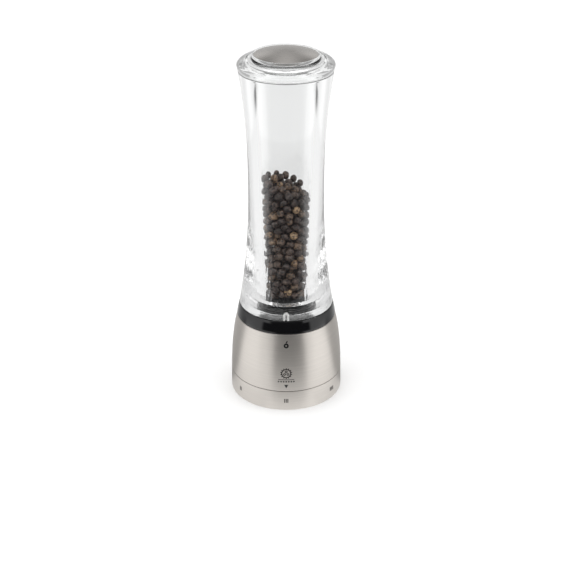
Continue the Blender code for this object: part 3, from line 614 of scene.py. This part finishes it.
def key_placement(sink):
    """Leans a flat arch on the reservoir's sloping foot at the front, sunk by that depth."""
    low, high = BODY_LOW, BODY_LOW + 5.7 * MM
    lean = Vector((body_radius(low) - body_radius(high), high - low)).angle_signed(Vector((0.0, 1.0)))
    place = Matrix.Translation((0.0, -body_radius(low) + sink, low))
    return place @ Matrix.Rotation(lean, 4, "X")


KEY_WIDTH, KEY_HEIGHT, KEY_DEPTH = 3.4 * MM, 5.1 * MM, 1.2 * MM


def build_reservoir():
    low, high = BODY_LOW, BODY_TOP
    edge = 0.35 * MM
    corners = [(body_radius(high), high, edge)]
    corners += [(body_radius(z), z) for z in steps_between(high - 1.0 * MM, low + 1.0 * MM, 90)]
    corners += [(body_radius(low), low, edge), (COUNTERBORE_RADIUS, low, 0.3 * MM),
                (COUNTERBORE_RADIUS, COUNTERBORE_TOP, 0.3 * MM),
                (BORE_FOOT_RADIUS, COUNTERBORE_TOP, 0.25 * MM)]
    corners += [(BORE_MOUTH_RADIUS, LIP_TOP, 0.3 * MM), (LIP_RADIUS, LIP_TOP, 0.3 * MM),
                (LIP_RADIUS, high, 0.15 * MM)]
    body = turned_mesh(rounded(corners))
    gap = 0.06 * MM
    pocket = arch_mesh(KEY_WIDTH + 2 * gap, KEY_HEIGHT + gap, 4.0 * MM, slot=0.0)
    pocket.transform(key_placement(KEY_DEPTH + 0.2 * MM - 2.0 * MM))
    body = carve(body, pocket)
    finish_piece(link_object("reservoir_body", body), ACRYLIC, "reservoir", "clear_acrylic", "reservoir")
    key = arch_mesh(KEY_WIDTH, KEY_HEIGHT, KEY_DEPTH, slot=1.1 * MM, bevel=0.12 * MM)
    key.transform(key_placement(KEY_DEPTH / 2 + 0.08 * MM) @ Matrix.Translation((0.0, 0.0, 0.02 * MM)))
    arch = link_object("index_key_arch", key)
    finish_piece(arch, WHITE_PLASTIC, "reservoir", "white_plastic", "index_key")


def build_collar():
    """The collar. The ribs on its neck that grip the reservoir are made by build_neck_ribs."""
    neck, neck_top = 17.1 * MM, 61.9 * MM
    groove = (58.1 * MM, 59.9 * MM)
    journal, underside = 24.3 * MM, 49.0 * MM
    band_foot = radius_of("collar")
    corners = [(neck, neck_top, 0.2 * MM), (neck, groove[1], 0.1 * MM), (neck - 1.4 * MM, groove[1]),
               (neck - 1.4 * MM, groove[0]), (neck, groove[0], 0.1 * MM), (neck, COLLAR_TOP, 0.2 * MM),
               (COLLAR_TOP_RADIUS, COLLAR_TOP, 0.35 * MM), (28.3 * MM, 54.2 * MM), (28.68 * MM, 52.2 * MM),
               (29.0 * MM, 50.5 * MM), (band_foot, underside, 0.45 * MM), (journal, underside, 0.2 * MM),
               (journal, 42.8 * MM), (journal - 0.9 * MM, 42.8 * MM), (journal - 0.9 * MM, 41.6 * MM),
               (journal, 41.6 * MM), (journal, 40.6 * MM, 0.3 * MM), (21.4 * MM, 40.6 * MM, 0.3 * MM),
               (21.4 * MM, 51.6 * MM, 0.3 * MM), (14.6 * MM, 51.6 * MM, 0.3 * MM),
               (13.5 * MM, 38.0 * MM, 0.3 * MM),
               (11.6 * MM, 38.0 * MM, 0.3 * MM), (11.6 * MM, 56.6 * MM, 0.3 * MM), (13.6 * MM, 56.6 * MM),
               (13.6 * MM, neck_top, 0.3 * MM)]
    turned("collar_band", rounded(corners), GLOSS_BLACK, "reservoir", "gloss_black", "collar")


def build_neck_ribs(count=54, neck=17.1 * MM):
    """Upright ribs round the collar's neck, below and above its seal."""
    work = bmesh.new()
    for number in range(count):
        turn = Matrix.Rotation(tau * number / count, 4, "Z")
        for low, high in ((56.7 * MM, 58.0 * MM), (60.0 * MM, 61.6 * MM)):
            made = bmesh.ops.create_cube(work, size=1.0)["verts"]
            size = Matrix.Diagonal((0.45 * MM, 0.9 * MM, high - low, 1.0))
            place = Matrix.Translation((neck + 0.05 * MM, 0.0, (low + high) / 2))
            bmesh.ops.transform(work, matrix=turn @ place @ size, verts=made)
    mesh = bpy.data.meshes.new("collar_neck_ribs")
    work.to_mesh(mesh)
    work.free()
    finish_piece(link_object("collar_neck_ribs", mesh), GLOSS_BLACK, "reservoir", "gloss_black")


def build_round_seal(name, node, finish, slot, body):
    low, high = low_of(node), high_of(node)
    minor = (high - low) / 2
    middle = radius_of(node) - minor
    profile = [(middle + minor * cos(a), (low + high) / 2 + minor * sin(a))
               for a in (tau * i / 20 for i in range(20, 0, -1))]
    turned(name, profile, finish, body, slot, node, steps=FINE_STEPS)


# The cap.


def build_cap():
    low = BODY_TOP + 0.3 * MM
    rim, rim_z = radius_of("cap_ring"), 201.2 * MM
    dome_radius, dome_edge = radius_of("cap_dome"), 206.45 * MM
    recess, recess_floor = dome_radius + 0.15 * MM, 203.9 * MM
    socket, ceiling = LIP_RADIUS + 0.3 * MM, LIP_TOP + 0.3 * MM
    groove_radius = radius_of("cap_seal") + 0.1 * MM
    groove = (low_of("cap_seal") - 0.2 * MM, high_of("cap_seal") + 0.2 * MM)
    corners = [(0.0, recess_floor), (recess, recess_floor, 0.2 * MM), (recess, 206.85 * MM, 0.15 * MM),
               (18.3 * MM, 206.85 * MM, 0.3 * MM), (19.6 * MM, 206.1 * MM), (21.0 * MM, 205.4 * MM),
               (23.0 * MM, 204.4 * MM), (25.1 * MM, 203.3 * MM, 0.3 * MM), (26.5 * MM, 202.2 * MM, 0.5 * MM),
               (rim, rim_z, 0.6 * MM), (rim - 0.2 * MM, 200.2 * MM),
               (BODY_TOP_RADIUS, low, 0.3 * MM),
               (socket, low, 0.15 * MM), (socket, groove[0], 0.1 * MM), (groove_radius, groove[0], 0.1 * MM),
               (groove_radius, groove[1], 0.1 * MM), (socket, groove[1], 0.1 * MM),
               (socket, ceiling, 0.3 * MM), (0.0, ceiling)]
    turned("cap_ring_clear", rounded(corners, 6), CAP_ACRYLIC, "cap", "clear_acrylic", "cap_ring")
    fall = (TOP - dome_edge) / dome_radius**2
    foot = low_of("cap_dome")
    outside = [(r, TOP - fall * r * r) for r in steps_between(0.0, dome_radius - 0.5 * MM, 30)]
    edge = [(dome_radius, TOP - fall * dome_radius**2, 0.4 * MM), (dome_radius, foot, 0.15 * MM),
            (dome_radius - SHEET, foot, 0.15 * MM)]
    inner = dome_radius - SHEET
    inside = [(r, TOP - SHEET - fall * r * r) for r in steps_between(inner, 0.0, 16)]
    turned("cap_dome_skin", rounded(outside + edge + inside, 6), DOME_STEEL, "cap", "brushed_skin",
           "cap_dome")
    pad_low, pad_high, pad = low_of("cap_bond_pad"), high_of("cap_bond_pad"), radius_of("cap_bond_pad")
    turned("cap_pad", rounded([(0.0, pad_high), (pad, pad_high, 0.15 * MM), (pad, pad_low, 0.15 * MM),
                               (0.0, pad_low)]), FOAM, "cap", "foam_pad", "cap_bond_pad", steps=HIDDEN_STEPS)


# The peppercorns.


def packed_corns(seed=7, tries=420):
    """Centres and radii of corns that fill the bore. Each is dropped where it comes to rest lowest,
    of many places tried, and at last the heap's slope is cut off."""
    rng = np.random.default_rng(seed)
    low, high, mean = COUNTERBORE_TOP + 0.4 * MM, HEAP_Z + 12.0 * MM, 2.25 * MM
    place, radius = np.zeros((2000, 3)), np.zeros(2000)
    rest = count = 0
    while rest < high:
        size = float(np.clip(rng.normal(mean, 0.17 * MM), 1.85 * MM, 2.7 * MM))
        turn = rng.uniform(0, tau, tries)
        out = np.minimum(1.0, 1.12 * np.sqrt(rng.uniform(0, 1, tries)))
        out *= bore_radius(max(rest, low)) - size - 0.05 * MM
        x, y = out * np.cos(turn), out * np.sin(turn)
        near = slice(max(0, count - 300), count)
        apart = (x[:, None] - place[near, 0]) ** 2 + (y[:, None] - place[near, 1]) ** 2
        room = (0.97 * (size + radius[near])) ** 2 - apart
        on_top = np.where(room > 0, place[near, 2] + np.sqrt(np.maximum(room, 0.0)), 0.0)
        heights = np.maximum(low + size, on_top.max(axis=1, initial=0.0))
        best = heights.argmin()
        rest = heights[best]
        place[count], radius[count] = (x[best], y[best], rest), size
        count += 1
    place, radius = place[:count], radius[:count]
    surface = HEAP_Z + HEAP_SLOPE[0] * place[:, 0] + HEAP_SLOPE[1] * place[:, 1]
    kept = place[:, 2] + 0.3 * radius < surface
    return place[kept], radius[kept]


def corn_shapes(count, subdivisions):
    """A few wrinkled corns of radius 1: their points, how high each point lies on a ridge, and
    their faces. The wrinkles are a net of ridges round shallow cells."""
    shapes = []
    for number in range(count):
        work = bmesh.new()
        bmesh.ops.create_icosphere(work, subdivisions=subdivisions, radius=1.0)
        points = np.array([v.co for v in work.verts])
        faces = np.array([[v.index for v in f.verts] for f in work.faces])
        work.free()
        offset = Vector((number * 7.3, number * 3.1, number * 5.7))
        height = np.zeros(len(points))
        for i, point in enumerate(points):
            here = Vector(point) * 2.6 + offset
            here += 0.35 * noise.noise_vector(here * 1.3)
            near, far = noise.voronoi(here)[0][:2]
            height[i] = max(0.0, 1.0 - (far - near) * 2.6)
        squash = 1.0 - 0.10 * np.abs(points[:, 2:3]) ** 3
        lumps = np.array([noise.noise(Vector(p) * 1.1 + offset) for p in points])
        scale = (0.93 + 0.075 * height + 0.06 * lumps)[:, None]
        shapes.append((points * scale * squash, height, faces))
    return shapes


def build_peppercorns():
    place, radius = packed_corns()
    rng = np.random.default_rng(11)
    shapes = corn_shapes(9, 3)
    order = np.argsort(place[:, 2])
    groups = np.array_split(order, 4)
    for number, group in enumerate(groups, 1):
        points, faces, ridges, start = [], [], [], 0
        for corn in group:
            shape, height, shape_faces = shapes[rng.integers(len(shapes))]
            spin = rng.normal(size=4)
            spin /= np.linalg.norm(spin)
            w, x, y, z = spin
            turn = np.array([[1 - 2 * (y * y + z * z), 2 * (x * y - z * w), 2 * (x * z + y * w)],
                             [2 * (x * y + z * w), 1 - 2 * (x * x + z * z), 2 * (y * z - x * w)],
                             [2 * (x * z - y * w), 2 * (y * z + x * w), 1 - 2 * (x * x + y * y)]])
            points.append(shape @ turn.T * radius[corn] + place[corn])
            faces.append(shape_faces + start)
            ridges.append(height)
            start += len(shape)
        mesh = bpy.data.meshes.new(f"peppercorns_{number}")
        mesh.from_pydata(np.concatenate(points).tolist(), [], np.concatenate(faces).tolist())
        attribute = mesh.attributes.new("ridge", "FLOAT", "POINT")
        attribute.data.foreach_set("value", np.concatenate(ridges))
        mesh.shade_smooth()
        obj = link_object(f"peppercorns_{number}", mesh)
        finish_piece(obj, PEPPER, "reservoir", "peppercorn", *(["peppercorn_fill"] if number == 1 else []))


# Finishes for the CAD nodes that stay as they are.


def finish_frame():
    finishes = {
        MATTE_BLACK: ("base_housing", "funnel", "adjuster_carrier", "drive_spider"),
        WHITE_PLASTIC: ("bearing_ring", "slip_washer"),
        BURR_STEEL: ("stator_burr", "rotor_burr"),
        BRIGHT_STEEL: ("stator_screw_1", "stator_screw_2", "stator_screw_3", "detent_ball", "thrust_ball",
                       "thrust_bridge", "drive_shaft", "shaft_nut", "spring_washer"),
        SPRING_STEEL: ("detent_spring", "burr_spring", "adjuster_snap_ring", "collar_snap_ring"),
    }
    for finish, nodes in finishes.items():
        for node in nodes:
            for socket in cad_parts[node].material_slots:
                socket.material = finish


# The studio: floor, light and camera.


def polar(tree, position):
    """Where a point lies round the mill: the share of a full turn, 0.5 at the front, and the radius."""
    x, y, _ = tree.split(position)
    turn = tree.math("ARCTAN2", x, tree.math("MULTIPLY", y, -1.0))
    square = tree.math("ADD", tree.math("MULTIPLY", x, x), tree.math("MULTIPLY", y, y))
    return tree.math("ADD", tree.math("DIVIDE", turn, tau), 0.5), tree.math("SQRT", square)


def levels(tree, share, stops):
    """Brightness by angle: each stop is (degrees from the front towards +X, level)."""
    ramp = tree.add("ShaderNodeValToRGB")
    elements = ramp.color_ramp.elements
    while len(elements) < len(stops):
        elements.new(0.5)
    for element, (angle, level) in zip(elements, stops, strict=True):
        element.position = (angle + 180) / 360
        element.color = colour(level, level, level)
    tree.link(share, ramp.inputs[0])
    return ramp.outputs["Color"]


def build_table():
    """What polished pieces see below them: a pale table that is bright close to the mill and dim
    farther off in front. It shows in reflections only."""
    near = [(-180, 0.52), (-100, 0.42), (-90, 0.95), (-27, 1.0), (-20, 1.25), (32, 1.25), (40, 1.05),
            (87, 1.0), (97, 0.46), (112, 0.46), (180, 0.52)]
    far = [(-180, 0.85), (-150, 0.80), (-100, 0.45), (-90, 1.45), (-27, 1.45), (-20, 0.05), (32, 0.05),
           (40, 1.6), (87, 1.6), (97, 0.50), (150, 0.80), (180, 0.85)]
    beyond = [(-180, 0.85), (-112, 0.60), (-80, 1.2), (-56, 1.2), (-50, 0.05), (50, 0.05), (56, 1.2),
              (80, 1.2), (112, 0.60), (180, 0.85)]
    mesh = bpy.data.meshes.new("table")
    work = bmesh.new()
    bmesh.ops.create_circle(work, cap_ends=True, segments=64, radius=2.5)
    work.to_mesh(mesh)
    work.free()
    table = link_object("table_glow", mesh)
    table.location.z = -0.1 * MM
    tree = Tree("table_glow")
    share, radius = polar(tree, tree.position())
    outwards = tree.spread(radius, 0.0, 1.0, (0.045, 0.115))
    glow = tree.mix(outwards, levels(tree, share, near), levels(tree, share, far))
    glow = tree.mix(tree.spread(radius, 0.0, 1.0, (0.17, 0.25)), glow, levels(tree, share, beyond))
    tree.set(base_color=colour(0.0, 0.0, 0.0), specular_ior_level=0.0, emission_color=glow,
             emission_strength=1.0)
    mesh.materials.append(tree.material)
    table.visible_camera = table.visible_diffuse = False
    table.visible_transmission = table.visible_shadow = False


def build_floor():
    """A pale floor that curves up into a faintly lit wall far behind on every side."""
    flat, wall_radius, wall_top, curve = 1.6, 3.2, 3.5, 1.2
    profile = [(0.0, 0.0), (flat, 0.0)]
    for a in steps_between(0.0, pi / 2, 12):
        profile.append((wall_radius - curve + curve * sin(a), curve - curve * cos(a)))
    profile.append((wall_radius, wall_top))
    outline = bpy.data.meshes.new("floor")
    edges = [(i, i + 1) for i in range(len(profile) - 1)]
    outline.from_pydata([(r, 0.0, z - 0.02 * MM) for r, z in profile], edges, [])
    obj = link_object("floor_outline", outline)
    screw = obj.modifiers.new("screw", "SCREW")
    screw.steps = screw.render_steps = 96
    screw.use_merge_vertices = True
    screw.merge_threshold = 1e-5
    mesh = baked_mesh(obj, 60)
    floor = link_object("studio_floor", mesh)
    tree = Tree("studio_white")
    soft = tree.noise(tree.position(), 3.0, 2.0)
    _, radius = polar(tree, tree.position())
    pale, paler = colour(0.90, 0.90, 0.90), colour(0.93, 0.93, 0.93)
    tree.set(base_color=tree.mix(tree.spread(soft, 0.0, 1.0), pale, paler),
             roughness=0.9, specular_ior_level=0.0, emission_strength=1.0,
             emission_color=tree.mix(tree.spread(radius, 0.0, 1.0, (0.7, 2.2)), colour(0.0, 0.0, 0.0),
                                     colour(0.75, 0.75, 0.75)))
    mesh.materials.append(tree.material)
    floor.visible_glossy = False
    floor.visible_diffuse = False
    floor.visible_shadow = False
    floor.visible_transmission = False


# Brightness of the studio round the mill, by angle in degrees from the front towards +X, as its
# polished outsides mirror it: soft boxes at the sides, a dark front, and dimmer walls behind them.
# These levels are set for the look of the front view, not measured.
MIRRORED_LOW = [(-180, 0.60), (-150, 0.45), (-105, 0.30), (-95, 1.25), (-40, 1.25), (-33, 0.06),
                (36, 0.06), (43, 1.3), (88, 1.3), (96, 0.35), (150, 0.45), (180, 0.60)]
MIRRORED_HIGH = [(-180, 0.40), (-175, 0.42), (-169, 0.78), (-161, 0.70), (-150, 0.26), (-101, 1.10),
                 (-27, 1.10), (-19, 0.30), (32, 0.30), (40, 1.15), (88, 1.15), (150, 0.26), (161, 0.70),
                 (169, 0.78), (175, 0.42), (180, 0.40)]
MIRRORED_TOP = [(-180, 0.58), (-173, 0.52), (-165, 0.24), (-120, 0.26), (-101, 1.10), (-27, 1.10),
                (-19, 0.30), (32, 0.30), (40, 1.15), (88, 1.15), (110, 0.26), (165, 0.24), (173, 0.52),
                (180, 0.58)]
# The same as seen through the clear pieces, from overhead down to the table.
THROUGH_TOP = [(-180, 0.70), (-85, 0.80), (-60, 2.8), (60, 2.8), (85, 0.80), (180, 0.70)]
THROUGH_ABOVE = [(-180, 0.66), (-150, 0.70), (-120, 0.56), (-60, 0.72), (0, 0.48), (60, 0.72),
                 (120, 0.56), (150, 0.70), (180, 0.66)]
THROUGH_LEVEL = [(-180, 0.86), (-171, 0.86), (-160, 0.98), (-151, 1.06), (-140, 0.98), (-125, 0.82),
                 (-100, 0.72), (-40, 0.80), (0, 0.62), (40, 0.80), (100, 0.72), (125, 0.82), (140, 0.98),
                 (151, 1.06), (160, 0.98), (171, 0.86), (180, 0.86)]
THROUGH_UPPER = [(-180, 0.86), (-171, 0.86), (-160, 0.98), (-151, 1.04), (-134, 0.95), (-125, 0.72),
                 (-118, 0.14), (-105, 0.05), (105, 0.05), (118, 0.14), (125, 0.72), (134, 0.95),
                 (151, 1.04), (160, 0.98), (171, 0.86), (180, 0.86)]
THROUGH_LOWER = [(-180, 0.82), (-171, 0.82), (-160, 0.90), (-120, 0.86), (-75, 0.80), (-50, 0.12),
                 (50, 0.12), (75, 0.80), (120, 0.86), (160, 0.90), (171, 0.82), (180, 0.82)]


def build_studio():
    world = bpy.data.worlds.new("studio")
    bpy.context.scene.world = world
    tree = WorldTree(world)
    direction = tree.add("ShaderNodeTexCoord").outputs["Generated"]
    height = tree.split(direction)[2]
    share, _ = polar(tree, direction)

    def rise(low, high):
        return tree.spread(height, 0.0, 1.0, (sin(radians(low)), sin(radians(high))))

    top = colour(0.75, 0.75, 0.75)
    walls = tree.mix(rise(8, 20), levels(tree, share, MIRRORED_LOW), levels(tree, share, MIRRORED_HIGH))
    walls = tree.mix(rise(27, 37), walls, levels(tree, share, MIRRORED_TOP))
    mirrored = tree.mix(rise(50, 66), walls, top)
    lower, upper = levels(tree, share, THROUGH_LOWER), levels(tree, share, THROUGH_UPPER)
    through = tree.mix(rise(-23.2, -21.7), lower, upper)
    through = tree.mix(rise(-20.8, -20.1), through, levels(tree, share, THROUGH_LEVEL))
    through = tree.mix(rise(-7, -1), through, levels(tree, share, THROUGH_ABOVE))
    through = tree.mix(rise(24, 36), through, levels(tree, share, THROUGH_TOP))
    seen_through = tree.add("ShaderNodeLightPath").outputs["Is Transmission Ray"]
    background = tree.nodes["Background"]
    tree.link(tree.mix(seen_through, mirrored, through), background.inputs["Color"])
    background.inputs["Strength"].default_value = 1.0


def build_light():
    """A soft overhead light that whitens the floor and leaves a faint shadow round the foot."""
    data = bpy.data.lights.new("overhead", "AREA")
    data.shape = "DISK"
    data.size = 1.1
    data.energy = 11.5
    light = bpy.data.objects.new("overhead", data)
    light.location = (0.0, 0.12, 1.25)
    light.visible_glossy = False
    light.visible_transmission = False
    bpy.context.scene.collection.objects.link(light)


def build_camera():
    """The viewpoint: in front of the mill, looking down on it."""
    distance, height, pitch = 0.6665, 0.41075, radians(27.48)
    focal_share = 1269 / 576  # focal length over picture width
    data = bpy.data.cameras.new("camera")
    data.sensor_width = 36.0
    data.lens = 36.0 * focal_share
    data.clip_start = 0.05
    data.clip_end = 20.0
    camera = bpy.data.objects.new("camera", data)
    camera.location = (0.0, -distance, height)
    camera.rotation_euler = (pi / 2 - pitch, 0.0, radians(-0.094))
    bpy.context.scene.collection.objects.link(camera)
    bpy.context.scene.camera = camera
    bpy.context.scene.view_settings.view_transform = "Standard"


def main():
    build_camera()
    build_floor()
    build_table()
    build_studio()
    build_light()
    finish_frame()
    build_base_shell()
    build_adjuster_skin()
    build_marks()
    build_setting_marks()
    build_reservoir()
    build_collar()
    build_neck_ribs()
    build_round_seal("neck_round_seal", "neck_seal", RUBBER, "black_rubber", "reservoir")
    build_cap()
    build_round_seal("cap_round_seal", "cap_seal", SILICONE, "clear_silicone", "cap")
    build_peppercorns()


main()
